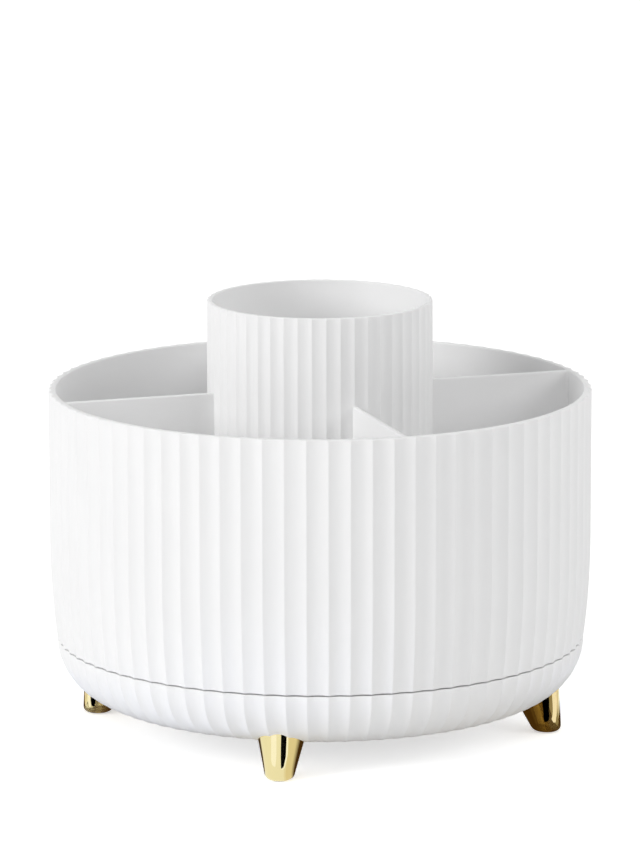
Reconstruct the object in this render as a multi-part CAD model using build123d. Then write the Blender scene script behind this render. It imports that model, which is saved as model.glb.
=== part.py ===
from build123d import *
import os
from math import cos, radians, sin, sqrt, tan

# Rotating makeup organizer, in millimetres.
# The turning axis is Z, the table is at height 0 and the front is towards -Y.
# Angles around the axis are in degrees, from the front towards +X.

# Outside of the drum and its base, on the tips of the ridges
rim_radius = 100.0            # radius at the rim
rim_height = 127.3            # rim above the table
bend_height = 72.0            # the wall is upright above this height
seam_height = 34.0            # middle of the seam between drum and base
seam_draw_in = 2.4            # how much smaller the radius is at the seam
seam_gap = 0.5                # open height of the seam
corner_width = 21.6           # of the base's round corner, in from the seam
corner_steps = 4              # flat bands that make up the corner
underside_height = 12.5       # flat underside above the table

# Flutes of the drum and the base
flute_count = 80
flute_depth = 0.9             # from ridge to groove at the rim
flute_angle = 1.7             # direction of one ridge

# Walls and floors
drum_wall = 2.0               # behind the grooves
base_wall = 2.2               # behind the grooves
base_floor = 2.4
drum_floor = 2.6
wall_draft = 1.0              # degrees, inner wall of the drum
edge_chamfer = 0.5            # inner edges of the rims

# Dividers
divider_count = 4
divider_angle = 18.0          # direction of one divider
divider_thickness = 2.0
divider_rounding = 0.8        # along both top edges
divider_to_cup = 0.15         # gap where a divider ends on the cup

# Centre cup
cup_radius = 41.5             # on the tips of its ridges
cup_rim_height = 159.9        # cup rim above the table
cup_flute_count = 50
cup_flute_depth = 0.6
cup_flute_angle = 3.2         # direction of one ridge
cup_wall = 1.4                # behind the grooves
cup_floor = 2.0
cup_floor_rise = 6.0          # room under the cup's floor for the pivot
cup_register_height = 3.0     # ring on the drum's floor that centres the cup
cup_register_width = 2.0
cup_fit = 0.2                 # between that ring and the cup
cup_boss_radius = 4.0
cup_boss_inset = 9.5          # from the cup's inner wall to a boss's middle
cup_boss_count = 3
cup_access_radius = 10.0      # hole in the cup's floor over the pivot
cup_cap_lip = 3.0             # how far the cap reaches over the hole's edge
cup_cap_thickness = 1.0
cup_cap_skirt_wall = 1.2
cup_cap_skirt_depth = 2.0     # below the cap's plate
cap_fit = 0.1

# Ball turntable
ball_diameter = 5.0
ball_count = 8
ball_play = 0.08              # between a ball and the sides of its grooves
groove_relief = 0.3           # between a ball and the flat bottom of its grooves
race_width = 13.0
race_thickness = 2.4
race_web = 1.2                # metal left between a groove and the back
race_fit = 0.15               # between a race and the edges that centre it
race_to_screws = 6.3          # between a race and the heads of the deck's screws
race_channel = 0.6            # depth of the lower race's channel in the deck
race_register_height = 2.0    # rib under the drum's floor inside the upper race
race_register_width = 1.6
cage_thickness = 1.4
cage_width = 10.0
pocket_clearance = 0.2        # between a ball and its pocket

# Deck that closes the base and carries the lower race
deck_below_seam = 3.1         # top of the deck below the middle of the seam
deck_thickness = 3.0
deck_fit = 0.3                # between the deck and the dust lip
deck_rib_count = 8
deck_rib_thickness = 2.0
deck_rib_depth = 4.0
deck_rib_stop = 7.0           # from the end of a rib to the screw bosses
ledge_count = 8
ledge_thickness = 2.4
ledge_length = 7.0            # of each rib in the base that the deck rests on
lip_wall = 1.4                # dust lip that stands up behind the seam
lip_height = 2.0              # above the middle of the seam
lip_clearance = 0.4           # between the dust lip and the drum
lip_root = 3.0                # how far down the lip thickens the wall

# Pivot
pivot_radius = 4.0
pivot_running_clearance = 0.05
pivot_shoulder_radius = 7.0
pivot_socket_floor = 2.5      # base plastic under the post, above the base's floor
pivot_socket_wall = 3.5
pivot_socket_fit = 0.1
pivot_hub_radius = 9.0
pivot_lift = 0.3              # free lift of the drum under the washer
washer_radius = 9.0
washer_thickness = 1.2
pivot_screw_radius = 2.0
pivot_screw_length = 14.0

# Screws: one size holds the deck, the feet and the cup
screw_radius = 1.5
screw_head_radius = 2.8
screw_head_height = 1.8
screw_hole_radius = 1.7
screw_bite = 6.0              # depth of the hole that its thread bites in
screw_tip_room = 0.6          # left free beyond its tip
thread_fit = 0.05
deck_screw_count = 4
deck_screw_inset = 17.0       # from the deck's edge to a screw
deck_boss_radius = 4.0

# Feet
foot_angles = {"front": -10.0, "right": 80.0, "rear": 170.0, "left": 260.0}
foot_inset = 14.5             # from the rim's radius to where a foot's axis meets the table
foot_splay = 16.0             # degrees, outward lean
foot_taper = 14.9             # degrees, half angle of the cone
foot_tip_radius = 5.25        # of the cone where its axis meets the table
foot_tip_rounding = 1.8       # round the edge of the level tip
foot_length = 18.5            # along its axis, up to its seat
foot_socket_fit = 0.1
foot_socket_wall = 2.0
pad_radius = 2.8
pad_height = 1.4
pad_stand = 0.2               # how far the pad stands out of the foot
pad_fit = 0.1

# Heights worked out from the sizes above
skirt_height = seam_height + seam_gap / 2
base_rim_height = seam_height - seam_gap / 2
deck_top = seam_height - deck_below_seam
deck_bottom = deck_top - deck_thickness
lower_race_bottom = deck_top - race_channel
ball_radius = ball_diameter / 2
ball_height = lower_race_bottom + race_web + groove_relief + ball_radius
upper_race_bottom = 2 * ball_height - lower_race_bottom - race_thickness
floor_bottom = upper_race_bottom + race_thickness
floor_top = floor_bottom + drum_floor
washer_bottom = floor_top + pivot_lift
base_floor_top = underside_height + base_floor
cup_floor_bottom = floor_top + cup_floor_rise
cup_floor_top = cup_floor_bottom + cup_floor
cup_inner_radius = cup_radius - cup_flute_depth - cup_wall

# Radii worked out from the sizes above
seam_radius = rim_radius - seam_draw_in
flat_radius = seam_radius - corner_width
drum_inner_radius = rim_radius - flute_depth - drum_wall
skirt_inner_radius = seam_radius - flute_depth - drum_wall
lip_outer_radius = skirt_inner_radius - lip_clearance
lip_inner_radius = lip_outer_radius - lip_wall
deck_radius = lip_inner_radius - deck_fit
deck_screw_circle = deck_radius - deck_screw_inset
deck_rib_reach = deck_screw_circle - deck_boss_radius - deck_rib_stop
race_outer_radius = deck_screw_circle - screw_head_radius - race_to_screws
race_inner_radius = race_outer_radius - race_width
ball_circle = race_outer_radius - race_width / 2   # radius of the circle of balls
cup_boss_circle = cup_inner_radius - cup_boss_inset
foot_circle = rim_radius - foot_inset
base_cavity_radius = seam_radius - flute_depth - base_wall


def polar(radius, angle, height=0.0):
    """Point at an angle from the front, turning towards +X."""
    turn = radians(angle)
    return Vector(radius * sin(turn), -radius * cos(turn), height)


def around(count, first_angle=0.0):
    """Evenly spaced angles around the axis."""
    return [first_angle + i * 360.0 / count for i in range(count)]


def turned(*points):
    """Solid turned about Z from (radius, height) corners."""
    return revolve(Plane.XZ * make_face(Polyline(*points, close=True)), Axis.Z)


def pillar(radius, low, high, centre=(0.0, 0.0)):
    """Upright cylinder between two heights."""
    place = Pos(centre[0], centre[1], low)
    return place * extrude(Circle(radius), amount=high - low)


def pillars(radius, low, high, circle, angles):
    """Upright cylinders at angles on a circle."""
    spots = [polar(circle, angle) for angle in angles]
    return [pillar(radius, low, high, (spot.X, spot.Y)) for spot in spots]


def radial_walls(thickness, inner, outer, low, high, angles):
    """Upright walls that run out from the axis."""
    slab = Box(outer - inner, thickness, high - low, align=(Align.MIN, Align.CENTER, Align.MIN))
    return [Rot(0, 0, angle - 90) * Pos(inner, 0, low) * slab for angle in angles]


def shell_radius(height):
    """Ridge radius of the outside: upright wall, slow bend, then round corner."""
    if height >= bend_height:
        return rim_radius
    if height >= seam_height:
        fall = (bend_height - height) / (bend_height - seam_height)
        return rim_radius - seam_draw_in * fall ** 2
    drop = (seam_height - height) / (seam_height - underside_height)
    return flat_radius + (seam_radius - flat_radius) * sqrt(max(0.0, 1 - drop ** 2))


def fluted_section(radius, height, count, depth, angle):
    """Flat face whose edge is hollow flutes that meet in sharp ridges."""
    step = 360.0 / count
    flutes = []
    for ridge in around(count, angle):
        start = polar(radius, ridge, height)
        groove = polar(radius - depth, ridge + step / 2, height)
        flutes.append(ThreePointArc(start, groove, polar(radius, ridge + step, height)))
    return Face(Wire(flutes))


def fluted_form(heights):
    """Solid fluted body through the shell's outline at the heights."""
    sections = []
    for height in heights:
        radius = shell_radius(height)
        depth = flute_depth * radius / rim_radius
        sections.append(fluted_section(radius, height, flute_count, depth, flute_angle))
    return loft(sections, ruled=True)


def pan_screw(length, shank=screw_radius, head=screw_head_radius, head_height=screw_head_height):
    """Pan head screw along -Z, with the head's seat at the origin."""
    return turned(
        (0, -length),
        (shank, -length),
        (shank, 0),
        (head, 0),
        (head, head_height),
        (0, head_height),
    )


def drum_outside():
    """Fluted outside of the drum: a slow bend above the seam, then an upright wall."""
    rise = bend_height - skirt_height
    bend = fluted_form([skirt_height + rise * part for part in (0, 0.5, 1)])
    section = fluted_section(rim_radius, bend_height, flute_count, flute_depth, flute_angle)
    return bend + extrude(section, amount=rim_height - bend_height, dir=(0, 0, 1))


def cup_outside(extra=0.0):
    """Fluted outside of the centre cup, grown by a gap where wanted."""
    radius = cup_radius + extra
    foot = fluted_section(radius, floor_top, cup_flute_count, cup_flute_depth, cup_flute_angle)
    return extrude(foot, amount=cup_rim_height - floor_top, dir=(0, 0, 1))


def dividers():
    """Walls from the cup to the drum, level with the rim, with rounded top edges."""
    wall, = radial_walls(
        divider_thickness, cup_inner_radius, rim_radius, floor_top, rim_height, [90.0]
    )
    wall = fillet(wall.edges().filter_by(Axis.X).group_by(Axis.Z)[-1], divider_rounding)
    walls = [Rot(0, 0, angle - 90) * wall for angle in around(divider_count, divider_angle)]
    return Compound(walls) - cup_outside(divider_to_cup)


def drum_inside():
    """Room inside the drum above its floor, with the dividers left standing."""
    draft = (rim_height - floor_top) * tan(radians(wall_draft))
    room = turned(
        (0, floor_top),
        (drum_inner_radius - draft, floor_top),
        (drum_inner_radius, rim_height - edge_chamfer),
        (drum_inner_radius + edge_chamfer, rim_height),
        (0, rim_height),
    )
    outer = cup_inner_radius - cup_fit
    register = pillar(outer, floor_top, floor_top + cup_register_height)
    register -= pillar(outer - cup_register_width, floor_top, floor_top + cup_register_height)
    return room - dividers() - register


def drum_underside():
    """Room under the drum's floor, round the hub and the rib that centres the race."""
    room = pillar(skirt_inner_radius, skirt_height, floor_bottom)
    rib_bottom = floor_bottom - race_register_height
    rib_outer = race_inner_radius - race_fit
    rib = pillar(rib_outer, rib_bottom, floor_bottom)
    rib -= pillar(rib_outer - race_register_width, rib_bottom, floor_bottom)
    return room - rib - pillar(pivot_hub_radius, skirt_height, floor_bottom)


def cup_screw_angles():
    """The first of the cup's screws stands midway between two dividers."""
    return around(cup_boss_count, divider_angle + 180.0 / divider_count)


def drum_shell():
    """Fluted drum with its floor, dividers and hub in one moulding."""
    body = drum_outside() - drum_inside() - drum_underside()
    bore = pillar(pivot_radius + pivot_running_clearance, skirt_height, floor_top)
    holes = pillars(
        screw_hole_radius, floor_bottom, floor_top, cup_boss_circle, cup_screw_angles()
    )
    return body - bore - Compound(holes)


def centre_cup():
    """Tall fluted cup with a raised floor and screw bosses under it."""
    body = cup_outside()
    body -= turned(
        (0, cup_floor_top),
        (cup_inner_radius, cup_floor_top),
        (cup_inner_radius, cup_rim_height - edge_chamfer),
        (cup_inner_radius + edge_chamfer, cup_rim_height),
        (0, cup_rim_height),
    )
    bosses = pillars(
        cup_boss_radius, floor_top, cup_floor_bottom, cup_boss_circle, cup_screw_angles()
    )
    body -= pillar(cup_inner_radius, floor_top, cup_floor_bottom) - Compound(bosses)
    pilots = pillars(
        screw_radius + thread_fit, floor_top, cup_floor_bottom, cup_boss_circle, cup_screw_angles()
    )
    body -= Compound(pilots)
    body -= pillar(cup_access_radius, cup_floor_bottom, cup_floor_top)
    seat = cup_floor_top - cup_cap_thickness
    return body - pillar(cup_access_radius + cup_cap_lip + cap_fit, seat, cup_floor_top)


def cup_floor_cap():
    """Cover that closes the hole over the pivot, flush with the cup's floor."""
    seat = cup_floor_top - cup_cap_thickness
    outer = cup_access_radius - cap_fit
    skirt_bottom = seat - cup_cap_skirt_depth
    return turned(
        (0, cup_floor_top),
        (0, seat),
        (outer - cup_cap_skirt_wall, seat),
        (outer - cup_cap_skirt_wall, skirt_bottom),
        (outer, skirt_bottom),
        (outer, seat),
        (cup_access_radius + cup_cap_lip, seat),
        (cup_access_radius + cup_cap_lip, cup_floor_top),
    )


def cup_screws():
    """Screws up through the drum's floor into the cup."""
    screw = Rot(180, 0, 0) * pan_screw(drum_floor + cup_floor_rise - screw_tip_room)
    spots = [polar(cup_boss_circle, angle, floor_bottom) for angle in cup_screw_angles()]
    return [Pos(spot) * screw for spot in spots]


def race():
    """Flat ring with a square-sided vee groove for the balls, back at 0."""
    apex = race_web + groove_relief + ball_radius - (ball_radius + ball_play) * sqrt(2)
    bottom = race_web - apex
    mouth = race_thickness - apex
    return turned(
        (race_inner_radius, 0),
        (race_outer_radius, 0),
        (race_outer_radius, race_thickness),
        (ball_circle + mouth, race_thickness),
        (ball_circle + bottom, race_web),
        (ball_circle - bottom, race_web),
        (ball_circle - mouth, race_thickness),
        (race_inner_radius, race_thickness),
    )


def lower_race():
    return Pos(0, 0, lower_race_bottom) * race()


def upper_race():
    return Pos(0, 0, floor_bottom) * Rot(180, 0, 0) * race()


def bearing_balls():
    """Balls that carry the drum."""
    spots = [polar(ball_circle, angle, ball_height) for angle in around(ball_count)]
    return [Pos(spot) * Sphere(ball_radius) for spot in spots]


def ball_cage():
    """Ring that keeps the balls apart."""
    low = ball_height - cage_thickness / 2
    high = ball_height + cage_thickness / 2
    ring = pillar(ball_circle + cage_width / 2, low, high)
    ring -= pillar(ball_circle - cage_width / 2, low, high)
    pocket = ball_radius + pocket_clearance
    return ring - Compound(pillars(pocket, low, high, ball_circle, around(ball_count)))


def foot_frame(angle):
    """Place of a foot: origin where its axis meets the table, Z up the axis."""
    return Pos(polar(foot_circle, angle)) * Rot(0, 0, angle - 90) * Rot(0, -foot_splay, 0)


def foot_cone(extra, bottom, top):
    """Cone of a foot between two distances along its axis, grown by a gap or a wall."""
    spread = tan(radians(foot_taper))
    grown = foot_tip_radius + extra / cos(radians(foot_taper))
    return turned((0, bottom), (grown + bottom * spread, bottom), (grown + top * spread, top), (0, top))


def deck_screw_angles():
    """The first of the deck's screws stands midway between two feet."""
    return around(deck_screw_count, foot_angles["front"] + 180.0 / len(foot_angles))


def foot(angle):
    """Leaning cone with a level rounded tip, a recess for its pad and a screw hole in its seat."""
    cone = foot_cone(0, -foot_tip_radius, foot_length)
    cone -= pillar(screw_radius + thread_fit, foot_length - screw_bite, foot_length)
    placed = foot_frame(angle) * cone
    spot = polar(foot_circle, angle)
    middle = (spot.X, spot.Y)
    placed -= pillar(2 * foot_tip_radius, -2 * foot_tip_radius, pad_stand, middle)
    placed = fillet(placed.faces().sort_by(Axis.Z)[0].edges(), foot_tip_rounding)
    return placed - pillar(pad_radius + pad_fit, 0, pad_height, middle)


def foot_pads():
    """Soft pads that the organizer stands on."""
    return pillars(pad_radius, 0, pad_height, foot_circle, foot_angles.values())


def foot_screws():
    """Screws from inside the base down into the feet."""
    seat = foot_length + foot_socket_wall
    screw = Pos(0, 0, seat) * pan_screw(foot_socket_wall + screw_bite - screw_tip_room)
    return [foot_frame(angle) * screw for angle in foot_angles.values()]


def corner_turns():
    """Even turns round the base's corner, from its flat up to the seam."""
    return [radians(90.0 * i / corner_steps) for i in range(corner_steps + 1)]


def base_outside():
    """Fluted outside of the base, from its flat underside to the seam."""
    rise = seam_height - underside_height
    corner = [seam_height - rise * cos(turn) for turn in corner_turns()[:-1]]
    return fluted_form(corner + [base_rim_height])


def base_room():
    """Room inside the base before bosses and ribs stand in it."""
    width = base_cavity_radius - flat_radius
    depth = base_rim_height - base_floor_top
    corner = [
        (flat_radius + width * sin(turn), base_rim_height - depth * cos(turn))
        for turn in corner_turns()
    ]
    return turned((0, base_rim_height), (0, base_floor_top), *corner)


def dust_lip():
    """Ring that stands up behind the seam and thickens the wall below it."""
    root = base_rim_height - lip_root
    top = seam_height + lip_height
    return turned(
        (lip_inner_radius, root),
        (base_cavity_radius + base_wall / 2, root),
        (base_cavity_radius + base_wall / 2, base_rim_height),
        (lip_outer_radius, base_rim_height),
        (lip_outer_radius, top),
        (lip_inner_radius, top),
    )


def foot_bosses():
    """Thick places in the base that the feet plug into."""
    cone = foot_cone(foot_socket_fit + foot_socket_wall, 0, foot_length + foot_socket_wall)
    return [foot_frame(angle) * cone for angle in foot_angles.values()]


def foot_sockets():
    """Cuts in the base for the feet and their screws."""
    cone = foot_cone(foot_socket_fit, 0, foot_length)
    cutter = cone + pillar(screw_hole_radius, 0, foot_length + foot_socket_wall)
    return [foot_frame(angle) * cutter for angle in foot_angles.values()]


def base_fittings():
    """Everything that stands up inside the base to carry the deck and the post."""
    ledge_inner = deck_radius - ledge_length
    ledges = radial_walls(
        ledge_thickness, ledge_inner, rim_radius, underside_height, deck_bottom,
        around(ledge_count, deck_screw_angles()[0] + 180.0 / ledge_count),
    )
    bosses = pillars(
        deck_boss_radius, underside_height, deck_bottom, deck_screw_circle, deck_screw_angles()
    )
    socket = pillar(pivot_shoulder_radius + pivot_socket_wall, underside_height, deck_bottom)
    return Compound(ledges + bosses + [socket])


def base_shell():
    """Fluted dish with bosses for the feet, the deck and the pivot."""
    fittings = base_fittings() + Compound(foot_bosses())
    body = base_outside() - (base_room() - fittings) + dust_lip()
    body -= Compound(foot_sockets())
    pilots = pillars(
        screw_radius + thread_fit, deck_bottom - screw_bite, deck_bottom,
        deck_screw_circle, deck_screw_angles(),
    )
    socket_floor = base_floor_top + pivot_socket_floor
    socket = pillar(pivot_shoulder_radius + pivot_socket_fit, socket_floor, deck_bottom)
    return body - Compound(pilots) - socket


def base_deck():
    """Round plate with stiffening ribs, a channel for the race and a hole for the post."""
    plate = pillar(deck_radius, deck_bottom, deck_top)
    channel = pillar(race_outer_radius + race_fit, lower_race_bottom, deck_top)
    channel -= pillar(race_inner_radius - race_fit, lower_race_bottom, deck_top)
    rib_inner = pivot_shoulder_radius + pivot_socket_wall + deck_fit
    ribs = radial_walls(
        deck_rib_thickness, rib_inner, deck_rib_reach,
        deck_bottom - deck_rib_depth, deck_bottom,
        around(deck_rib_count, deck_screw_angles()[0]),
    )
    holes = pillars(
        screw_hole_radius, deck_bottom, deck_top, deck_screw_circle, deck_screw_angles()
    )
    bore = pillar(pivot_radius + deck_fit, deck_bottom, deck_top)
    return plate + ribs - channel - Compound(holes) - bore


def deck_screws():
    """Screws that hold the deck down."""
    screw = pan_screw(deck_thickness + screw_bite - screw_tip_room)
    spots = [polar(deck_screw_circle, angle, deck_top) for angle in deck_screw_angles()]
    return [Pos(spot) * screw for spot in spots]


def pivot_post():
    """Stepped post: wide in the base's socket, slim through the drum's hub."""
    foot_height = base_floor_top + pivot_socket_floor
    hole_radius = pivot_screw_radius + thread_fit
    post = turned(
        (0, foot_height),
        (pivot_shoulder_radius, foot_height),
        (pivot_shoulder_radius, deck_bottom),
        (pivot_radius, deck_bottom),
        (pivot_radius, washer_bottom),
        (0, washer_bottom),
    )
    return post - pillar(hole_radius, washer_bottom - pivot_screw_length, washer_bottom)


def pivot_washer():
    """Washer that keeps the drum from being lifted off."""
    top = washer_bottom + washer_thickness
    ring = pillar(washer_radius, washer_bottom, top)
    return ring - pillar(pivot_screw_radius + thread_fit, washer_bottom, top)


def pivot_screw():
    """Screw down through the washer into the post."""
    length = washer_thickness + pivot_screw_length - screw_tip_room
    screw = pan_screw(length, pivot_screw_radius, pivot_radius, pivot_screw_radius)
    return Pos(0, 0, washer_bottom + washer_thickness) * screw


def write(name, solids):
    """One file for each piece, or for each set of like pieces."""
    shape = Compound(solids) if isinstance(solids, list) else solids
    export_step(shape, os.path.join("parts", name + ".step"))


os.makedirs("parts", exist_ok=True)

for make in (
    base_shell, base_deck, lower_race, pivot_post, pivot_washer, pivot_screw,
    foot_pads, foot_screws, deck_screws, ball_cage, bearing_balls,
    drum_shell, centre_cup, cup_floor_cap, cup_screws, upper_race,
):
    write(make.__name__, make())

for side, angle in foot_angles.items():
    write("foot_" + side, foot(angle))
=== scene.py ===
from math import atan2, cos, hypot, pi, radians, sin, sqrt, tan

import bmesh
import bpy
from mathutils import Matrix, Vector


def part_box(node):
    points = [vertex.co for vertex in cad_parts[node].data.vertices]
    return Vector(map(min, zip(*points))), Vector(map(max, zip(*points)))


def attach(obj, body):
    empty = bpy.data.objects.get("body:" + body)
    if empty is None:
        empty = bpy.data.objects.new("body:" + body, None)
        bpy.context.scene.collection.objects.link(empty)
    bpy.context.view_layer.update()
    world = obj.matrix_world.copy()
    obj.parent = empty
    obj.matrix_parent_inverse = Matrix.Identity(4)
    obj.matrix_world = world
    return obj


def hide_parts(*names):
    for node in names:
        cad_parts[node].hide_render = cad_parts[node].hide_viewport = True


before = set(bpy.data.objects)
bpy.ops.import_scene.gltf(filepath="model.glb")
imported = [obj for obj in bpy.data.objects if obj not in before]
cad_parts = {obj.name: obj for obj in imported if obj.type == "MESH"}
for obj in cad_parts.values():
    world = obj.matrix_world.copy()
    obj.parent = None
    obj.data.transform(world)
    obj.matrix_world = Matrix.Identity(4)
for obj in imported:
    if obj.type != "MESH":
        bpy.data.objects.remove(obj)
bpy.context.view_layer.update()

print("frame loaded:", len(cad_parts), "nodes")

# Metres, +Z up, the turning axis is Z, the front is towards -Y.
# Angles around the axis are in degrees from +X towards +Y.

drumLow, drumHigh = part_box("drum_shell")
cupLow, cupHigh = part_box("centre_cup")
baseLow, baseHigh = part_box("base_shell")
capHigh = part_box("cup_floor_cap")[1]
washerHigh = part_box("pivot_washer")[1]

drum = dict(
    rimRadius=0.100,         # on the ridges
    bendHeight=0.072,        # upright above this
    seamMiddle=0.0340,
    drawIn=0.0024,           # radius lost at the seam
    seamEdge=0.0003,         # rounding of the edges along the seam
    wall=0.0020,             # behind the grooves
    draft=1.0,               # degrees, inside
    floor=0.0026,
    flutes=80,
    fluteDepth=0.0009,
    ridgeAngle=1.7,
    lipRounding=0.0005,
    cornerRounding=0.0022,   # where the inner wall meets the floor
    cornerOut=0.0001,        # how far it starts outside the wall's foot
    hubRadius=0.0090,
    boreRadius=0.00405,
    ribRadius=0.05335,       # outside of the rib that centres the race
    ribWidth=0.0016,
    ribDepth=0.0020,
    registerRadius=0.0393,   # outside of the ring that centres the cup
    registerWidth=0.0020,
    registerHeight=0.0030,
)
divider = dict(
    count=4,
    angle=-72.0,
    thickness=0.0020,
    topRounding=0.0008,
    flare=0.0012,            # how a divider widens into the drum's wall
    flareSteps=5,
    intoWall=0.0006,
    intoFloor=0.0005,
    underRim=0.00005,
    gapToCup=0.00015,
)
cup = dict(
    radius=0.0415,
    wall=0.0014,
    floor=0.0020,
    flutes=50,
    fluteDepth=0.0006,
    ridgeAngle=-0.4,
    lipRounding=0.0004,
    cornerRounding=0.0025,
    holeRadius=0.0100,
    capSeatRadius=0.0131,
    capSeatDepth=0.0010,
    bossRadius=0.0040,
    bossIntoFloor=0.0005,
    bossCircle=0.0300,
    bossAngles=(-27.0, 93.0, 213.0),
)
base = dict(
    flatRadius=0.0760,
    wall=0.0022,
    floor=0.0024,
    lipOuter=0.0943,         # dust lip behind the seam
    lipWall=0.0014,
    lipRoot=0.0030,
    lipStep=0.0010,          # the wall's top reaches this far under the lip
    bossRadius=0.0040,       # under the deck's screws
    bossBore=0.0060,
    bossCircle=0.0756,
    bossAngles=(-55.0, 35.0, 125.0, 215.0),
    ledgeThickness=0.0024,
    ledgeInner=0.0856,
    ledgeAngle=-32.5,
    ledges=8,
    socketRadius=0.0105,     # round the foot of the post
    socketBore=0.0071,
    socketRise=0.0025,       # its floor above the base's floor
    footBossWall=0.0020,
    skinInset=0.0013,        # what is joined on ends this far within the ridges
    deckUnder=0.0279,        # underside of the deck's plate
    deckThickness=0.0030,
)
foot = dict(
    circle=0.0855,           # where the axes meet the table
    angles=dict(front=-100.0, right=-10.0, rear=80.0, left=170.0),
    splay=16.0,
    taper=13.4,
    tipRadius=0.0049,        # of the cone at the table
    tipRounding=0.0030,      # width of the rounding round the level tip
    length=0.0185,
    wallStart=0.0045,        # the rounding ends below this
    wallRows=6,
    socketGap=0.0001,
    padStand=0.0002,         # how far a pad stands out
)
pad = dict(
    radius=0.0028,
    height=0.0014,
    rounding=0.0004,
    gap=0.0001,
    dish=0.00015,
    dishRows=((0, 1), (0.35, 0.8), (0.6, 0.3)),   # shares of the radius and of the dish
)
screw = dict(shank=0.0015, head=0.0028, headHeight=0.0018, pitch=0.0011, threadDepth=0.0003)
pivotScrew = dict(shank=0.0020, head=0.0040, headHeight=0.0020, pitch=0.0007, threadDepth=0.00022)
screwLength = dict(deck=0.0084, foot=0.0074, cup=0.0080, pivot=0.0146)
screwShape = dict(
    tipRadius=0.45,          # share of the shank
    headRounding=0.45,       # shares of the head's height
    recessFloor=0.25,
    recessArm=0.55,          # shares of the head's radius
    recessSlot=0.13,
    recessTaper=0.45,        # of the recess, from its mouth to its floor
    rowsPerTurn=6,
)
boreRadius = dict(screw=0.0017, thread=0.00155)
roundSides = dict(screw=24, rod=48, socket=96, foot=128, core=192)
stepsPerFlute = 12
sharpAngle = 50
cutPast = 0.001              # how far a cutter stands out of what it cuts
cutFar = 0.004               # the same where it leaves at a slant
weld = 1e-7
tolerance = 1e-6


def finishMesh(mesh, material):
    mesh.materials.clear()
    mesh.materials.append(material)
    mesh.shade_smooth()
    mesh.set_sharp_from_angle(angle=radians(sharpAngle))


def meshObject(name, bm):
    # a linked object from a bmesh, which is freed
    mesh = bpy.data.meshes.new(name)
    bm.to_mesh(mesh)
    bm.free()
    made = bpy.data.objects.new(name, mesh)
    bpy.context.scene.collection.objects.link(made)
    return made


def dropObject(made):
    mesh = made.data
    bpy.data.objects.remove(made)
    bpy.data.meshes.remove(mesh)


def linkPiece(name, bm, material, body, replaced):
    # one finished mesh that moves with a body and stands for a CAD node
    bmesh.ops.recalc_face_normals(bm, faces=bm.faces)
    piece = meshObject(name, bm)
    finishMesh(piece.data, material)
    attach(piece, body)
    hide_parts(replaced)
    return piece


def spinOutline(outline, steps, startAngle=0.0):
    # turns (radius, height, flute share) corners about Z into a closed body
    bm = bmesh.new()
    share = bm.verts.layers.float.new("share")
    corners = []
    for radius, height, amount in outline:
        vert = bm.verts.new((radius, 0, height))
        vert[share] = amount
        corners.append(vert)
    for i, vert in enumerate(corners):
        after = corners[(i + 1) % len(corners)]
        if vert.co.x > 0 or after.co.x > 0:
            bm.edges.new((vert, after))
    bmesh.ops.rotate(bm, verts=bm.verts, matrix=Matrix.Rotation(radians(startAngle), 3, "Z"))
    bmesh.ops.spin(
        bm, geom=bm.verts[:] + bm.edges[:], cent=(0, 0, 0), axis=(0, 0, 1),
        angle=2 * pi, steps=steps, use_merge=True,
    )
    bmesh.ops.remove_doubles(bm, verts=bm.verts, dist=weld)
    bmesh.ops.recalc_face_normals(bm, faces=bm.faces)
    return bm


def cutFlutes(bm, count, depth, ridgeAngle):
    # hollows between slightly rounded ridges, with more steps near a ridge
    crest = 0.06             # how round a ridge is
    crowding = 0.7           # of the steps towards the ridges
    full = sqrt(1 + crest ** 2) - crest
    share = bm.verts.layers.float["share"]
    pitch = 2 * pi / count
    for vert in bm.verts:
        radius = hypot(vert.co.x, vert.co.y)
        if radius < tolerance:
            continue
        turns = (atan2(vert.co.y, vert.co.x) - radians(ridgeAngle)) / pitch
        part = turns % 1
        moved = part - crowding * sin(2 * pi * part) / (2 * pi)
        hollow = 4 * moved * (1 - moved)
        radius -= vert[share] * depth * (sqrt(hollow ** 2 + crest ** 2) - crest) / full
        angle = radians(ridgeAngle) + (turns - part + moved) * pitch
        vert.co.x = radius * cos(angle)
        vert.co.y = radius * sin(angle)


def arc(centre, radius, first, last, steps, share=0.0):
    # points of a round corner in the outline
    points = []
    for i in range(steps + 1):
        turn = radians(first + (last - first) * i / steps)
        points.append((centre[0] + radius * cos(turn), centre[1] + radius * sin(turn), share))
    return points


def shellRadius(height):
    # outside of drum and base: upright wall, slow bend, round corner
    rim = drum["rimRadius"]
    seamRadius = rim - drum["drawIn"]
    if height > drum["bendHeight"]:
        return rim
    if height > drum["seamMiddle"]:
        fall = (drum["bendHeight"] - height) / (drum["bendHeight"] - drum["seamMiddle"])
        return rim - drum["drawIn"] * fall ** 2
    drop = (drum["seamMiddle"] - height) / (drum["seamMiddle"] - baseLow.z)
    return base["flatRadius"] + (seamRadius - base["flatRadius"]) * sqrt(max(0, 1 - drop ** 2))


def around(radius, angle, height=0.0):
    # place on a circle about the axis
    turn = Matrix.Rotation(radians(angle), 4, "Z")
    return turn @ Matrix.Translation((radius, 0, height))


def addPart(whole, part, place=Matrix()):
    # puts a part into a bigger mesh and frees it
    bmesh.ops.transform(part, matrix=place, verts=part.verts)
    mesh = bpy.data.meshes.new("part")
    part.to_mesh(mesh)
    part.free()
    whole.from_mesh(mesh)
    bpy.data.meshes.remove(mesh)


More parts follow.
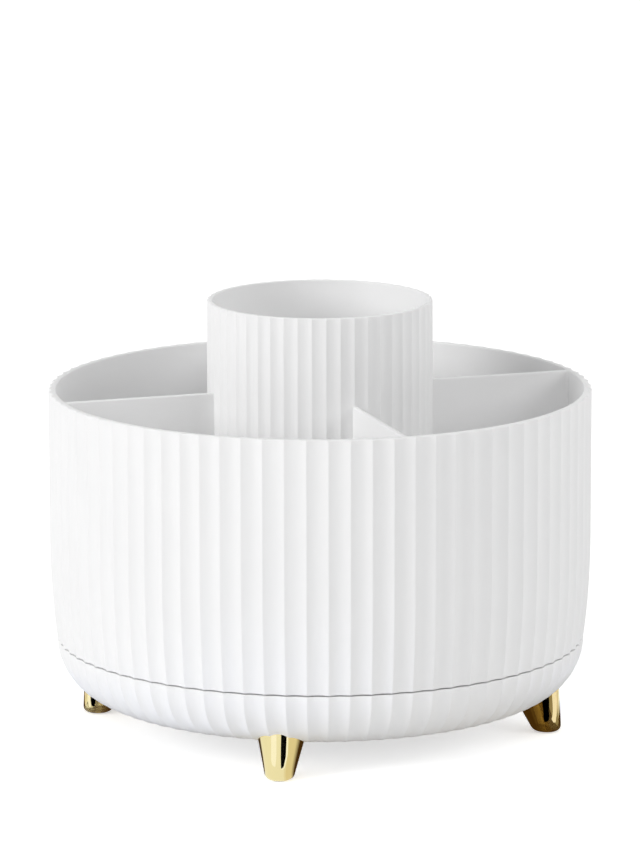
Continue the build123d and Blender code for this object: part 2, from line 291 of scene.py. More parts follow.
def plainRod(radius, low, high, bore=0.0, boreLow=None, steps=roundSides["rod"]):
    # upright rod, with a blind hole down from its top where wanted
    outline = [(0, low, 0), (radius, low, 0), (radius, high, 0)]
    if bore:
        outline += [(bore, high, 0), (bore, boreLow, 0), (0, boreLow, 0)]
    else:
        outline += [(0, high, 0)]
    return spinOutline(outline, steps)


def cutWith(piece, cutter, operation):
    # boolean with a scratch mesh, applied
    bmesh.ops.recalc_face_normals(cutter, faces=cutter.faces)
    tool = meshObject("cutter", cutter)
    modifier = piece.modifiers.new("cut", "BOOLEAN")
    modifier.operation = operation
    modifier.solver = "EXACT"
    modifier.object = tool
    bpy.context.view_layer.update()
    graph = bpy.context.evaluated_depsgraph_get()
    result = bpy.data.meshes.new_from_object(piece.evaluated_get(graph))
    piece.modifiers.clear()
    old = piece.data
    result.name = old.name
    piece.data = result
    if old.materials:
        finishMesh(result, old.materials[0])
    bpy.data.meshes.remove(old)
    dropObject(tool)


def cutScratch(bm, cutter, operation):
    # the same on a part that isn't a piece yet
    scratch = meshObject("scratch", bm)
    cutWith(scratch, cutter, operation)
    result = bmesh.new()
    result.from_mesh(scratch.data)
    dropObject(scratch)
    return result


# Materials

noiseScale = dict(cloud=28.0, sheen=160.0, film=90.0)


def newMaterial(name):
    material = bpy.data.materials.new(name)
    material.use_nodes = True
    nodes = material.node_tree.nodes
    links = material.node_tree.links
    shader = nodes["Principled BSDF"]
    place = nodes.new("ShaderNodeTexCoord").outputs["Object"]
    return material, nodes, links, shader, place


def addNoise(nodes, links, place, scale, detail=4.0, roughness=0.5):
    noise = nodes.new("ShaderNodeTexNoise")
    noise.inputs["Scale"].default_value = scale
    noise.inputs["Detail"].default_value = detail
    noise.inputs["Roughness"].default_value = roughness
    links.new(place, noise.inputs["Vector"])
    return noise.outputs["Fac"]


def addRange(nodes, links, value, low, high, fromLow=0.3, fromHigh=0.7):
    spread = nodes.new("ShaderNodeMapRange")
    spread.inputs["From Min"].default_value = fromLow
    spread.inputs["From Max"].default_value = fromHigh
    spread.inputs["To Min"].default_value = low
    spread.inputs["To Max"].default_value = high
    links.new(value, spread.inputs["Value"])
    return spread.outputs["Result"]


def addColours(nodes, links, value, first, second):
    mix = nodes.new("ShaderNodeMix")
    mix.data_type = "RGBA"
    mix.inputs["A"].default_value = (*first, 1)
    mix.inputs["B"].default_value = (*second, 1)
    links.new(value, mix.inputs["Factor"])
    return mix.outputs["Result"]


def addBump(nodes, links, shader, height, distance, strength):
    bump = nodes.new("ShaderNodeBump")
    bump.inputs["Distance"].default_value = distance
    bump.inputs["Strength"].default_value = strength
    links.new(height, bump.inputs["Height"])
    links.new(bump.outputs["Normal"], shader.inputs["Normal"])


def plasticMaterial(name, light, shade, smooth, rough, grain=5200.0, depth=0.000015):
    # moulded plastic: fine spark-eroded grain, faint clouding and uneven sheen
    material, nodes, links, shader, place = newMaterial(name)
    cloud = addRange(nodes, links, addNoise(nodes, links, place, noiseScale["cloud"]), 0.0, 1.0)
    links.new(addColours(nodes, links, cloud, shade, light), shader.inputs["Base Color"])
    sheen = addNoise(nodes, links, place, noiseScale["sheen"], detail=5.0)
    links.new(addRange(nodes, links, sheen, smooth, rough), shader.inputs["Roughness"])
    fine = addNoise(nodes, links, place, grain, detail=2.0, roughness=0.6)
    addBump(nodes, links, shader, fine, depth, strength=0.35)
    shader.inputs["Specular IOR Level"].default_value = 0.42
    return material


def metalMaterial(name, light, shade, smooth, rough, scale=420.0, depth=0.000004):
    # metal with a faintly uneven film and hair scratches
    material, nodes, links, shader, place = newMaterial(name)
    film = addRange(nodes, links, addNoise(nodes, links, place, noiseScale["film"]), 0.0, 1.0)
    links.new(addColours(nodes, links, film, shade, light), shader.inputs["Base Color"])
    haze = addNoise(nodes, links, place, scale, detail=6.0, roughness=0.65)
    links.new(addRange(nodes, links, haze, smooth, rough), shader.inputs["Roughness"])
    scratch = addNoise(nodes, links, place, scale * 6, detail=3.0)
    addBump(nodes, links, shader, scratch, depth, strength=0.15)
    shader.inputs["Metallic"].default_value = 1.0
    return material


# colours of the light and dark parts, then roughness from smooth to rough
satinWhite = plasticMaterial("satinWhite", (0.915, 0.915, 0.915), (0.90, 0.90, 0.902), 0.36, 0.46)
deckWhite = plasticMaterial("deckWhite", (0.78, 0.78, 0.77), (0.73, 0.73, 0.72), 0.5, 0.62)
acetal = plasticMaterial("acetal", (0.80, 0.79, 0.74), (0.76, 0.75, 0.70), 0.28, 0.4, grain=9000.0)
padRubber = plasticMaterial(
    "padRubber", (0.045, 0.045, 0.047), (0.03, 0.03, 0.032), 0.7, 0.85, grain=3600.0, depth=0.00003)
gold = metalMaterial("gold", (0.77, 0.60, 0.25), (0.74, 0.575, 0.235), 0.03, 0.06, depth=0.000001)
raceSteel = metalMaterial("raceSteel", (0.62, 0.63, 0.65), (0.52, 0.53, 0.56), 0.22, 0.38, scale=260.0)
ballSteel = metalMaterial("ballSteel", (0.72, 0.73, 0.75), (0.66, 0.67, 0.70), 0.05, 0.12)
screwZinc = metalMaterial("screwZinc", (0.66, 0.66, 0.68), (0.55, 0.56, 0.60), 0.20, 0.36, scale=700.0)
print("materials made")


# Drum

def drumOutline():
    # up the outside from the seam, over the rim, down the inside, across the floor and back
    rim = drum["rimRadius"]
    inner = rim - drum["fluteDepth"] - drum["wall"]
    top = drumHigh.z
    low = drumLow.z
    floorTop = cupLow.z
    floorLow = floorTop - drum["floor"]
    ease = drum["lipRounding"]
    corner = drum["cornerRounding"]
    floorInner = inner - (top - floorTop) * tan(radians(drum["draft"]))
    skirtRadius = shellRadius(low)
    skirtInner = rim - drum["drawIn"] - drum["fluteDepth"] - drum["wall"]
    edge = drum["seamEdge"]
    points = arc((skirtRadius - edge, low + edge), edge, -90, 0, 3, 1.0)
    bendSteps = 9
    for i in range(1, bendSteps + 1):
        height = low + edge + (drum["bendHeight"] - low - edge) * i / bendSteps
        points.append((shellRadius(height), height, 1.0))
    points += arc((rim - ease, top - ease), ease, 0, 90, 4, 1.0)
    points += arc((inner + ease, top - ease), ease, 90, 180, 4)
    points += arc((floorInner + drum["cornerOut"] - corner, floorTop + corner), corner, 0, -90, 6)
    registerTop = floorTop + drum["registerHeight"]
    registerInner = drum["registerRadius"] - drum["registerWidth"]
    points.append((drum["registerRadius"], floorTop, 0))
    points.append((drum["registerRadius"], registerTop, 0))
    points.append((registerInner, registerTop, 0))
    points.append((registerInner, floorTop, 0))
    points.append((drum["boreRadius"], floorTop, 0))
    points.append((drum["boreRadius"], low, 0))
    points.append((drum["hubRadius"], low, 0))
    points.append((drum["hubRadius"], floorLow, 0))
    ribInner = drum["ribRadius"] - drum["ribWidth"]
    ribLow = floorLow - drum["ribDepth"]
    points.append((ribInner, floorLow, 0))
    points.append((ribInner, ribLow, 0))
    points.append((drum["ribRadius"], ribLow, 0))
    points.append((drum["ribRadius"], floorLow, 0))
    points.append((skirtInner, floorLow, 0))
    points.append((skirtInner, low + edge, 0))
    points.append((skirtInner + edge, low, 0))
    return points


def hollowDepth(angle, count, depth, ridgeAngle):
    # how deep a flute is at an angle
    part = ((angle - ridgeAngle) * count / 360) % 1
    return depth * 4 * part * (1 - part)


def dividerMesh(angle):
    # plan outline with a flared end, drawn upwards, top edges rounded
    bm = bmesh.new()
    half = divider["thickness"] / 2
    flare = divider["flare"]
    top = drumHigh.z - divider["underRim"]
    low = cupLow.z - divider["intoFloor"]
    wallInside = drum["rimRadius"] - drum["fluteDepth"] - drum["wall"]
    cupSide = cup["radius"] - hollowDepth(angle, cup["flutes"], cup["fluteDepth"], cup["ridgeAngle"])
    start = cupSide + divider["gapToCup"]
    side = [(start, -half)]
    for i in range(divider["flareSteps"] + 1):
        turn = radians(90 * i / divider["flareSteps"])
        side.append((wallInside - flare * (1 - sin(turn)), -half - flare * (1 - cos(turn))))
    side.append((wallInside + divider["intoWall"], -half - flare))
    plan = side + [(x, -y) for x, y in reversed(side)]
    corners = [bm.verts.new((x, y, low)) for x, y in plan]
    bottom = bm.faces.new(corners)
    grown = bmesh.ops.extrude_face_region(bm, geom=[bottom])["geom"]
    raised = [item for item in grown if isinstance(item, bmesh.types.BMVert)]
    bmesh.ops.translate(bm, verts=raised, vec=(0, 0, top - low))
    longEdges = [
        edge for edge in bm.edges
        if edge.verts[0] in raised and edge.verts[1] in raised
        and max(edge.verts[0].co.x, edge.verts[1].co.x) <= wallInside + tolerance
        and abs(edge.verts[0].co.y + edge.verts[1].co.y) > half
    ]
    bmesh.ops.bevel(
        bm, geom=longEdges, offset=divider["topRounding"], segments=4, profile=0.5,
        affect="EDGES", material=-1, clamp_overlap=True,
    )
    slope = tan(radians(drum["draft"]))
    for vert in bm.verts:
        if vert.co.x > wallInside - flare - tolerance:
            vert.co.x -= (drumHigh.z - vert.co.z) * slope
    bmesh.ops.rotate(bm, verts=bm.verts, matrix=Matrix.Rotation(radians(angle), 3, "Z"))
    return bm


def drumPiece():
    bm = spinOutline(drumOutline(), drum["flutes"] * stepsPerFlute, drum["ridgeAngle"])
    cutFlutes(bm, drum["flutes"], drum["fluteDepth"], drum["ridgeAngle"])
    piece = linkPiece("drumShell", bm, satinWhite, "drum", "drum_shell")
    walls = bmesh.new()
    for i in range(divider["count"]):
        addPart(walls, dividerMesh(divider["angle"] + i * 360 / divider["count"]))
    cutWith(piece, walls, "UNION")
    holes = bmesh.new()
    low = cupLow.z - drum["floor"] - cutPast
    for angle in cup["bossAngles"]:
        rod = plainRod(boreRadius["screw"], low, cupLow.z + cutPast)
        addPart(holes, rod, around(cup["bossCircle"], angle))
    cutWith(piece, holes, "DIFFERENCE")


drumPiece()
print("drum made")


# Centre cup

def cupOutline():
    # up the outside, over the lip, down the inside, across the floor and down the skirt
    outer = cup["radius"]
    inner = outer - cup["fluteDepth"] - cup["wall"]
    top = cupHigh.z
    low = cupLow.z
    floorTop = capHigh.z
    floorLow = floorTop - cup["floor"]
    ease = cup["lipRounding"]
    corner = cup["cornerRounding"]
    seat = floorTop - cup["capSeatDepth"]
    points = [(outer, low, 1.0)]
    points += arc((outer - ease, top - ease), ease, 0, 90, 4, 1.0)
    points += arc((inner + ease, top - ease), ease, 90, 180, 4)
    points += arc((inner - corner, floorTop + corner), corner, 0, -90, 6)
    points.append((cup["capSeatRadius"], floorTop, 0))
    points.append((cup["capSeatRadius"], seat, 0))
    points.append((cup["holeRadius"], seat, 0))
    points.append((cup["holeRadius"], floorLow, 0))
    points.append((inner, floorLow, 0))
    points.append((inner, low, 0))
    return points


def cupPiece():
    bm = spinOutline(cupOutline(), cup["flutes"] * stepsPerFlute, cup["ridgeAngle"])
    cutFlutes(bm, cup["flutes"], cup["fluteDepth"], cup["ridgeAngle"])
    piece = linkPiece("centreCup", bm, satinWhite, "drum", "centre_cup")
    bosses = bmesh.new()
    bossTop = capHigh.z - cup["floor"] + cup["bossIntoFloor"]
    for angle in cup["bossAngles"]:
        boss = spinOutline([
            (boreRadius["thread"], cupLow.z, 0), (cup["bossRadius"], cupLow.z, 0),
            (cup["bossRadius"], bossTop, 0), (boreRadius["thread"], bossTop, 0),
        ], roundSides["rod"])
        addPart(bosses, boss, around(cup["bossCircle"], angle))
    cutWith(piece, bosses, "UNION")


cupPiece()
print("cup made")


# Base

def baseOutline():
    # under the bottom, up the round corner to the seam, over the dust lip and down the inside
    top = drum["seamMiddle"] - (drumLow.z - drum["seamMiddle"])
    topShare = 0.98          # of a flute's depth at the seam
    edge = drum["seamEdge"]
    edgeStart = 22           # degrees, where the rounding leaves the corner
    seamRadius = drum["rimRadius"] - drum["drawIn"]
    inner = seamRadius - drum["fluteDepth"] - base["wall"]
    floorTop = baseLow.z + base["floor"]
    lipOuter = base["lipOuter"]
    lipInner = lipOuter - base["lipWall"]
    wallTop = top - base["lipRoot"]
    flat = base["flatRadius"]
    points = [(0, baseLow.z, 0)]
    cornerSteps = 14
    wallSteps = 8
    for i in range(cornerSteps + 1):
        turn = radians(90 * (1 - i / cornerSteps))
        height = drum["seamMiddle"] - (drum["seamMiddle"] - baseLow.z) * sin(turn)
        if height > top - edge:
            height = top - edge
        radius = shellRadius(height)
        points.append((radius, height, radius / drum["rimRadius"]))
    points += arc((shellRadius(top) - edge, top - edge), edge, edgeStart, 90, 3, topShare)
    points.append((lipOuter, top, 0))
    points.append((lipOuter, baseHigh.z - edge, 0))
    points.append((lipOuter - edge, baseHigh.z, 0))
    points.append((lipInner + edge, baseHigh.z, 0))
    points.append((lipInner, baseHigh.z - edge, 0))
    points.append((lipInner, wallTop, 0))
    for i in range(wallSteps + 1):
        turn = radians(90 * i / wallSteps)
        radius = flat + (inner - flat) * cos(turn)
        height = wallTop - (wallTop - floorTop) * sin(turn)
        points.append((min(radius, lipInner + base["lipStep"]), height, 0))
    points.append((0, floorTop, 0))
    return points


def footPlace(angle):
    # origin where the foot's axis meets the table, Z up the leaning axis
    lean = Matrix.Rotation(radians(-foot["splay"]), 4, "Y")
    return around(foot["circle"], angle) @ lean


def footCone(grow, low, high):
    # cone of a foot between two distances along its axis
    taper = radians(foot["taper"])
    radius = foot["tipRadius"] + grow / cos(taper)
    cone = bmesh.new()
    bmesh.ops.create_cone(
        cone, cap_ends=True, segments=roundSides["socket"], radius1=radius + low * tan(taper),
        radius2=radius + high * tan(taper), depth=high - low,
        matrix=Matrix.Translation((0, 0, (low + high) / 2)),
    )
    return cone


def baseCore(inset):
    # room within the base's skin
    flat = base["flatRadius"]
    seamRadius = drum["rimRadius"] - drum["drawIn"] - inset
    low = baseLow.z + inset
    points = [(0, low, 0)]
    steps = 12
    for i in range(steps + 1):
        turn = radians(90 * (1 - i / steps))
        height = drum["seamMiddle"] - (drum["seamMiddle"] - low) * sin(turn)
        radius = flat + (seamRadius - flat) * cos(turn)
        points.append((radius, height, 0))
    points.append((0, drum["seamMiddle"], 0))
    return spinOutline(points, roundSides["core"])


def baseFittings():
    # ledges and bosses under the deck, the post's socket, bosses over the feet
    fittings = bmesh.new()
    low = baseLow.z
    deckUnder = base["deckUnder"]
    for i in range(base["ledges"]):
        ledge = bmesh.new()
        bmesh.ops.create_cube(ledge, size=1)
        reach = drum["rimRadius"] - base["ledgeInner"]
        size = Matrix.Diagonal((reach, base["ledgeThickness"], deckUnder - low, 1))
        middle = around(
            base["ledgeInner"] + reach / 2, base["ledgeAngle"] + i * 360 / base["ledges"],
            (low + deckUnder) / 2,
        )
        addPart(fittings, ledge, middle @ size)
    boreLow = deckUnder - base["bossBore"]
    for angle in base["bossAngles"]:
        boss = plainRod(base["bossRadius"], low, deckUnder, boreRadius["thread"], boreLow)
        addPart(fittings, boss, around(base["bossCircle"], angle))
    socketFloor = low + base["floor"] + base["socketRise"]
    socket = plainRod(
        base["socketRadius"], low, deckUnder, base["socketBore"], socketFloor, roundSides["socket"])
    addPart(fittings, socket)
    wall = base["footBossWall"]
    for angle in foot["angles"].values():
        cone = footCone(foot["socketGap"] + wall, 0, foot["length"] + wall)
        addPart(fittings, cone, footPlace(angle))
    return fittings


def basePiece():
    bm = spinOutline(baseOutline(), drum["flutes"] * stepsPerFlute, drum["ridgeAngle"])
    cutFlutes(bm, drum["flutes"], drum["fluteDepth"], drum["ridgeAngle"])
    piece = linkPiece("baseShell", bm, satinWhite, "base", "base_shell")
    fittings = cutScratch(baseFittings(), baseCore(base["skinInset"]), "INTERSECT")
    cutWith(piece, fittings, "UNION")
    sockets = bmesh.new()
    bores = bmesh.new()
    for angle in foot["angles"].values():
        addPart(sockets, footCone(foot["socketGap"], -cutFar, foot["length"]), footPlace(angle))
        bore = plainRod(boreRadius["screw"], foot["length"] - cutPast, foot["length"] + cutFar)
        addPart(bores, bore, footPlace(angle))
    cutWith(piece, sockets, "DIFFERENCE")
    cutWith(piece, bores, "DIFFERENCE")


basePiece()
print("base made")


# Feet and their pads

def footPiece(side, angle):
    # leaning cone, cut level just over the table, with the edge of the cut rounded
    spread = tan(radians(foot["taper"]))
    heights = [-foot["tipRadius"]]
    for i in range(foot["wallRows"] + 1):
        heights.append(foot["wallStart"] + (foot["length"] - foot["wallStart"]) * i / foot["wallRows"])
    outline = [(foot["tipRadius"] + height * spread, height, 0) for height in heights]
    outline = [(0, heights[0], 0)] + outline + [(0, heights[-1], 0)]
    bm = spinOutline(outline, roundSides["foot"])
    bmesh.ops.transform(bm, matrix=footPlace(angle), verts=bm.verts)
    cut = bmesh.ops.bisect_plane(
        bm, geom=bm.verts[:] + bm.edges[:] + bm.faces[:], dist=weld,
        plane_co=(0, 0, foot["padStand"]), plane_no=(0, 0, -1), clear_outer=True,
    )
    tipEdges = [item for item in cut["geom_cut"] if isinstance(item, bmesh.types.BMEdge)]
    bmesh.ops.contextual_create(bm, geom=tipEdges)
    bmesh.ops.bevel(
        bm, geom=tipEdges, offset=foot["tipRounding"], offset_type="WIDTH", segments=10,
        profile=0.5, affect="EDGES", material=-1,
    )
    name = "foot" + side.capitalize()
    piece = linkPiece(name, bm, gold, "base", "foot_" + side)
    recess = bmesh.new()
    rod = plainRod(pad["radius"] + pad["gap"], -cutPast, pad["height"])
    addPart(recess, rod, around(foot["circle"], angle))
    cutWith(piece, recess, "DIFFERENCE")


def padsPiece():
    # slightly hollow discs with a round lower edge
    radius = pad["radius"]
    ease = pad["rounding"]
    outline = [(radius * across, pad["dish"] * up, 0) for across, up in pad["dishRows"]]
    outline += arc((radius - ease, ease), ease, -90, 0, 6)
    outline += [(radius, pad["height"], 0), (0, pad["height"], 0)]
    whole = bmesh.new()
    for angle in foot["angles"].values():
        addPart(whole, spinOutline(outline, roundSides["rod"]), around(foot["circle"], angle))
    linkPiece("footPads", whole, padRubber, "base", "foot_pads")


for side, angle in foot["angles"].items():
    footPiece(side, angle)
padsPiece()
print("feet made")


# Screws

def screwMesh(size, length):
    # pan head with a cross recess, shank with a rolled thread, seat of the head at 0
    shank = size["shank"]
    head = size["head"]
    top = size["headHeight"]
    pitch = size["pitch"]
    ease = screwShape["headRounding"] * top
    coneTop = shank - length
    perTurn = screwShape["rowsPerTurn"]
    points = [(0, -length, 0), (shank * screwShape["tipRadius"], -length, 0), (shank, coneTop, 1.0)]
    rows = int((length - shank - pitch) / pitch * perTurn)
    for i in range(1, rows + 1):
        points.append((shank, coneTop + i * pitch / perTurn, 1.0))
    points += [(shank, -pitch / 2, 0), (shank, 0, 0), (head, 0, 0)]
    points += arc((head - ease, top - ease), ease, 0, 90, 6)
    points.append((0, top, 0))
    bm = spinOutline(points, roundSides["screw"])
    share = bm.verts.layers.float["share"]
    for vert in bm.verts:
        turn = atan2(vert.co.y, vert.co.x) / (2 * pi)
        part = (vert.co.z / pitch - turn) % 1
        groove = vert[share] * size["threadDepth"] * (1 - abs(2 * part - 1))
        shrink = 1 - groove / shank
        vert.co.x *= shrink
        vert.co.y *= shrink
    arm = screwShape["recessArm"] * head
    slot = screwShape["recessSlot"] * head
    corner = [(arm, slot), (slot, slot), (slot, arm)]
    cross = bmesh.new()
    for quarter in range(4):
        for x, y in corner:
            for _ in range(quarter):
                x, y = -y, x
            cross.verts.new((x, y, top * screwShape["recessFloor"]))
    floor = cross.faces.new(cross.verts[:])
    grown = bmesh.ops.extrude_face_region(cross, geom=[floor])["geom"]
    raised = [item for item in grown if isinstance(item, bmesh.types.BMVert)]
    bmesh.ops.translate(cross, verts=raised, vec=(0, 0, top))
    lower = [vert for vert in cross.verts if vert not in raised]
    narrower = (screwShape["recessTaper"], screwShape["recessTaper"], 1)
    bmesh.ops.scale(cross, verts=lower, vec=narrower)
    return cutScratch(bm, cross, "DIFFERENCE")


def screwsPiece(name, size, length, places, body, node):
    whole = bmesh.new()
    for place in places:
        addPart(whole, screwMesh(size, length), place)
    linkPiece(name, whole, screwZinc, body, node)


deckTop = base["deckUnder"] + base["deckThickness"]
deckPlaces = [around(base["bossCircle"], angle, deckTop) for angle in base["bossAngles"]]
screwsPiece("deckScrews", screw, screwLength["deck"], deckPlaces, "base", "deck_screws")
seat = Matrix.Translation((0, 0, foot["length"] + base["footBossWall"]))
footPlaces = [footPlace(angle) @ seat for angle in foot["angles"].values()]
screwsPiece("footScrews", screw, screwLength["foot"], footPlaces, "base", "foot_screws")
over = Matrix.Rotation(pi, 4, "X")
cupSeat = cupLow.z - drum["floor"]
cupPlaces = [around(cup["bossCircle"], angle, cupSeat) @ over for angle in cup["bossAngles"]]
screwsPiece("cupScrews", screw, screwLength["cup"], cupPlaces, "drum", "cup_screws")
pivotPlace = Matrix.Translation((0, 0, washerHigh.z))
screwsPiece("pivotScrew", pivotScrew, screwLength["pivot"], [pivotPlace], "base", "pivot_screw")
print("screws made")

# inner pieces whose solids stay, with a finish
finishes = dict(
    base_deck=deckWhite, lower_race=raceSteel, upper_race=raceSteel, bearing_balls=ballSteel,
    ball_cage=acetal, pivot_post=acetal, pivot_washer=screwZinc, cup_floor_cap=satinWhite,
)
for node, material in finishes.items():
    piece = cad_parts[node]
    piece.data.materials.clear()
    piece.data.materials.append(material)
print("inner pieces finished")


# Floor, world, lights, camera

studio = dict(
    floorSize=8.0,
    floorColour=0.90,
    floorGlow=0.55,            # seen by the camera only
    mirrorGlow=0.36,           # seen in reflections only
    shadeMiddle=(0.012, 0.006, 0),   # of the floor's dark part in reflections
    shadeRadius=(0.074, 0.094),      # from dark to bright
    worldLevel=0.39,
)
# degrees: bearing from the camera's side towards the right, up over the table, spread of the lamp
lamps = dict(
    key=dict(bearing=-62, up=20, strength=1.50, spread=30),
    front=dict(bearing=-12, up=42, strength=0.26, spread=30),
    right=dict(bearing=63, up=27, strength=0.67, spread=30),
    back=dict(bearing=117, up=23, strength=0.36, spread=30),
    top=dict(bearing=0, up=85, strength=0.07, spread=30),
)
# painted light that only the polished feet mirror, from cards flat on the floor: the dark, brown, tan
# and grey glows are painted shade, the plain, pale, bright and white ones painted reflections of light
paintedGlows = dict(
    dark=(0, 0, 0),
    brown=(0.07, 0.037, 0.01),
    tan=(0.36, 0.25, 0.085),
    grey=(0.37, 0.34, 0.28),
    plain=(0.96, 0.98, 1.0),
    pale=(1.12, 1.26, 1.6),
    bright=(1.19, 1.24, 1.62),
    white=(1.28, 1.48, 2.2),
)
# painted reflections: rings round the feet, as stops of (degrees from the camera's side towards the
# right, glow), near and far in millimetres; their brown, tan and grey stops are painted shade
paintedRings = dict(
    front=dict(near=1, far=130, stops=[
        (-150, "brown"), (-132, "brown"), (-120, "pale"), (17, "pale"), (40, "plain"),
        (74, "plain"), (104, "brown"), (150, "brown"),
    ]),
    right=dict(near=1, far=80, stops=[
        (-150, "brown"), (-66, "brown"), (-16, "tan"), (8, "tan"), (24, "grey"), (108, "grey"),
    ]),
    left=dict(near=1, far=40, stops=[
        (-110, "plain"), (-95, "pale"), (-30, "pale"), (8, "plain"), (24, "plain"),
        (58, "brown"), (100, "brown"),
    ]),
)
# painted reflections: streaks over the rings, each above the one before it, the dark ones painted
# shade and the white and bright ones painted highlights: glow and corners in millimetres
paintedStreaks = dict(
    frontRim=("white", [(-19, -210), (-10, -111), (-1, -108), (16, -119), (26, -143), (36, -190)]),
    frontDark=("dark", [(-19, -210), (-10, -114), (-2, -113), (10, -125), (18, -148), (26, -190)]),
    frontLight=("white", [
        (-98, -158), (-52, -109), (-43, -107), (-33, -117), (-40, -146), (-64, -200),
    ]),
    rightDark=("dark", [(93, -47), (83, -30), (83, -27), (91, -29), (102, -35), (124, -40)]),
    rightLight=("bright", [(150, -27), (97, -28), (96, -24), (100, -20), (108, -18), (150, 14)]),
    leftDark=("dark", [(-104, 5), (-91, 7), (-87, 6), (-90, 1), (-94, -1)]),
    leftLight=("white", [(-118, 18), (-95, 10), (-91, 9), (-91, 7), (-112, 6)]),
)
cardHeight = 0.00008         # of the rings over the floor
cardStep = 0.00003           # from one streak to the next
ringStep = 8                 # degrees, about
millimetre = 0.001
camera = dict(
    distance=2.091,          # from a point on the axis
    aimHeight=0.11199,       # of that point
    elevation=11.52,
    roll=-0.11,
    lens=239.4,              # millimetres, as is the sensor
    sensor=36,
)


def addMath(nodes, links, operation, first, second):
    step = nodes.new("ShaderNodeMath")
    step.operation = operation
    for socket, value in zip(step.inputs, (first, second)):
        if isinstance(value, float):
            socket.default_value = value
        else:
            links.new(value, socket)
    return step.outputs[0]


def bareMaterial(name):
    # without a surface yet
    material = bpy.data.materials.new(name)
    material.use_nodes = True
    nodes = material.node_tree.nodes
    nodes.clear()
    output = nodes.new("ShaderNodeOutputMaterial")
    return material, nodes, material.node_tree.links, output.inputs["Surface"]


def makeFloor():
    # matt paper that the camera sees almost white, and that is darker in reflections under the base
    bm = bmesh.new()
    bmesh.ops.create_grid(bm, x_segments=1, y_segments=1, size=studio["floorSize"])
    floor = meshObject("floor", bm)
    material, nodes, links, surface = bareMaterial("floorPaper")
    matte = nodes.new("ShaderNodeBsdfDiffuse")
    matte.inputs["Color"].default_value = (studio["floorColour"],) * 3 + (1,)
    glow = nodes.new("ShaderNodeEmission")
    ray = nodes.new("ShaderNodeLightPath")
    place = nodes.new("ShaderNodeTexCoord").outputs["Object"]
    distance = nodes.new("ShaderNodeVectorMath")
    distance.operation = "DISTANCE"
    distance.inputs[1].default_value = studio["shadeMiddle"]
    links.new(place, distance.inputs[0])
    outside = addRange(
        nodes, links, distance.outputs["Value"], 0.0, studio["mirrorGlow"], *studio["shadeRadius"])
    mirrored = addMath(nodes, links, "MULTIPLY", ray.outputs["Is Glossy Ray"], outside)
    seen = addMath(nodes, links, "MULTIPLY", ray.outputs["Is Camera Ray"], studio["floorGlow"])
    links.new(addMath(nodes, links, "ADD", seen, mirrored), glow.inputs["Strength"])
    both = nodes.new("ShaderNodeAddShader")
    links.new(matte.outputs[0], both.inputs[0])
    links.new(glow.outputs[0], both.inputs[1])
    links.new(both.outputs[0], surface)
    floor.data.materials.append(material)


def makePaintedCard(name, bm, light):
    # a painted reflection: shows in reflections only, and glows in one light or, without one, as its
    # corners say
    card = meshObject(name, bm)
    material, nodes, links, surface = bareMaterial(name)
    shade = nodes.new("ShaderNodeEmission")
    if light:
        shade.inputs["Color"].default_value = (*light, 1)
    else:
        corners = nodes.new("ShaderNodeVertexColor")
        corners.layer_name = "light"
        links.new(corners.outputs["Color"], shade.inputs["Color"])
    links.new(shade.outputs[0], surface)
    card.data.materials.append(material)
    card.visible_camera = False
    card.visible_diffuse = False
    card.visible_shadow = False
    card.visible_transmission = False


def makeStreak(name, height, glow, corners):
    # one flat face of painted reflection
    bm = bmesh.new()
    bm.faces.new([bm.verts.new((x * millimetre, y * millimetre, height)) for x, y in corners])
    makePaintedCard(name, bm, paintedGlows[glow])


def spokesOf(stops):
    # (degrees, colour) from the first stop to the last, with steps between them
    spokes = []
    for (first, glow), (last, nextGlow) in zip(stops, stops[1:]):
        steps = max(1, int((last - first) / ringStep))
        for i in range(steps):
            part = i / steps
            colour = Vector(paintedGlows[glow]).lerp(Vector(paintedGlows[nextGlow]), part)
            spokes.append((first + (last - first) * part, colour))
    last, glow = stops[-1]
    spokes.append((last, Vector(paintedGlows[glow])))
    return spokes


def makeRing(side, near, far, stops, turned=0):
    # flat ring of painted reflection round a foot, its light blending from stop to stop
    bm = bmesh.new()
    layer = bm.verts.layers.float_color.new("light")
    middle = footPlace(foot["angles"][side]).translation
    pairs = []
    for angle, colour in spokesOf(stops):
        turn = radians(turned + angle)
        pair = []
        for reach in (near, far):
            x = middle.x + reach * millimetre * sin(turn)
            y = middle.y - reach * millimetre * cos(turn)
            vert = bm.verts.new((x, y, cardHeight))
            vert[layer] = (*colour, 1)
            pair.append(vert)
        pairs.append(pair)
    for one, two in zip(pairs, pairs[1:]):
        bm.faces.new((one[0], one[1], two[1], two[0]))
    makePaintedCard("ring" + side.capitalize(), bm, None)


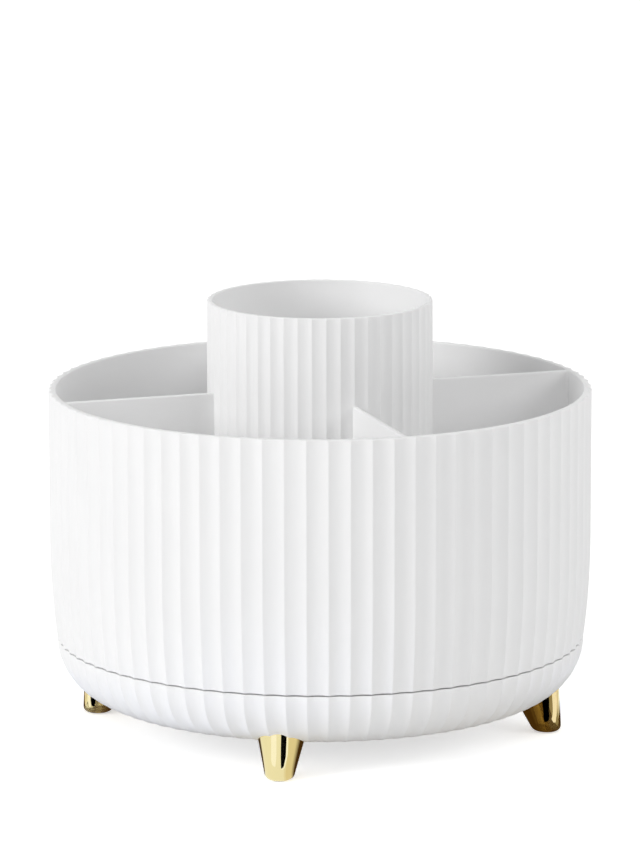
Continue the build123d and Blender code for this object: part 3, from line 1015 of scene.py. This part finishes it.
def makeWorld():
    # white to the camera and in reflections, lower as light
    world = bpy.data.worlds.new("studio")
    bpy.context.scene.world = world
    world.use_nodes = True
    nodes = world.node_tree.nodes
    links = world.node_tree.links
    background = nodes["Background"]
    ray = nodes.new("ShaderNodeLightPath")
    shown = ray.outputs["Is Camera Ray"]
    seen = addMath(nodes, links, "MAXIMUM", shown, ray.outputs["Is Glossy Ray"])
    level = addRange(nodes, links, seen, studio["worldLevel"], 1.0, 0.0, 1.0)
    links.new(level, background.inputs["Strength"])
    background.inputs["Color"].default_value = (1, 1, 1, 1)


def sunLamp(name, bearing, up, strength, spread):
    light = bpy.data.lights.new(name, "SUN")
    light.energy = strength
    light.angle = radians(spread)
    lamp = bpy.data.objects.new(name, light)
    bpy.context.scene.collection.objects.link(lamp)
    turn = Matrix.Rotation(radians(bearing), 3, "Z")
    towards = turn @ Vector((0, -cos(radians(up)), sin(radians(up))))
    lamp.rotation_mode = "QUATERNION"
    lamp.rotation_quaternion = towards.to_track_quat("Z", "Y")


def makeCamera():
    data = bpy.data.cameras.new("camera")
    data.sensor_width = camera["sensor"]
    data.lens = camera["lens"]
    eye = bpy.data.objects.new("camera", data)
    bpy.context.scene.collection.objects.link(eye)
    tilt = radians(camera["elevation"])
    away = camera["distance"]
    place = Matrix.Translation((0, -away * cos(tilt), camera["aimHeight"] + away * sin(tilt)))
    aim = Matrix.Rotation(pi / 2 - tilt, 4, "X")
    eye.matrix_world = place @ aim @ Matrix.Rotation(radians(camera["roll"]), 4, "Z")
    bpy.context.scene.camera = eye


makeFloor()
# painted reflections and painted shade round the feet, the rear foot's turned from the front's
for side, ring in paintedRings.items():
    makeRing(side, **ring)
makeRing("rear", **paintedRings["front"], turned=180)
for i, (name, (glow, corners)) in enumerate(paintedStreaks.items(), 1):
    height = cardHeight + i * cardStep
    makeStreak(name, height, glow, corners)
    if name.startswith("front"):
        makeStreak(name.replace("front", "rear"), height, glow, [(-x, -y) for x, y in corners])
makeWorld()
for name, lamp in lamps.items():
    sunLamp(name, **lamp)
makeCamera()
bpy.context.scene.view_settings.view_transform = "Standard"
print("studio made")
